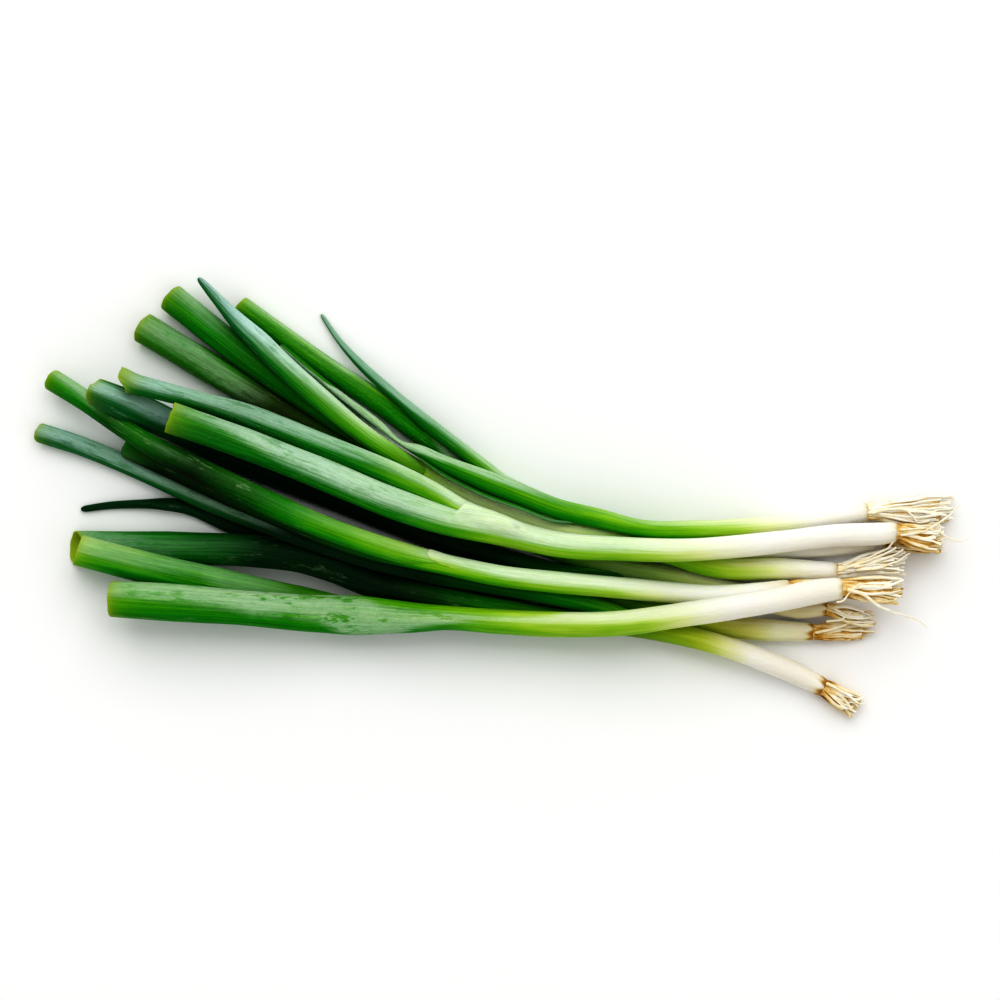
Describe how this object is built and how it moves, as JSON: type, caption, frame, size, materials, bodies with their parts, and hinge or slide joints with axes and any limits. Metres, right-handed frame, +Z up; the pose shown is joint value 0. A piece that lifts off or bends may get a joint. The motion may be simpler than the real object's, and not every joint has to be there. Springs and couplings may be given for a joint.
{
  "type": "spring onion bunch",
  "caption": "Loose bunch of spring onions lying flat: white shanks with trimmed root tufts at one end, hollow green leaves cut short and fanned out at the other.",
  "frame": {"origin": "on the table surface, under the middle of the bunch's bounding box", "axes": "+X along the bunch towards the roots, the leaves fan out towards -X, +Z up from the table"},
  "size_m": [0.3415, 0.1616, 0.0294],
  "materials": {
    "stalk": "satin waxy plant skin, ivory white at the root end, fading through yellow-green to deep green leaf with fine lengthwise veins",
    "leaf": "satin hollow leaf, deep to blue-green with a pale waxy bloom and fine lengthwise veins, paler at the cut end",
    "roots": "dry matt root fibres, cream with tan and brown near the base plate"
  },
  "bodies": {
    "root": {"onion_a_stalk": "stalk", "onion_a_leaf": "leaf", "onion_a_roots": "roots", "onion_b_stalk": "stalk", "onion_b_leaf": "leaf", "onion_b_roots": "roots", "onion_c_stalk": "stalk", "onion_c_leaf": "leaf", "onion_c_roots": "roots", "onion_d_stalk": "stalk", "onion_d_leaf": "leaf", "onion_d_roots": "roots", "onion_e_stalk": "stalk", "onion_e_leaf": "leaf", "onion_e_roots": "roots", "onion_f_stalk": "stalk", "onion_f_leaf": "leaf", "onion_f_roots": "roots", "onion_g_stalk": "stalk", "onion_g_roots": "roots", "onion_h_stalk": "stalk", "onion_h_leaf": "leaf", "onion_h_roots": "roots", "onion_i_stalk": "stalk", "onion_i_leaf": "leaf", "onion_i_roots": "roots"}
  },
  "joints": []
}
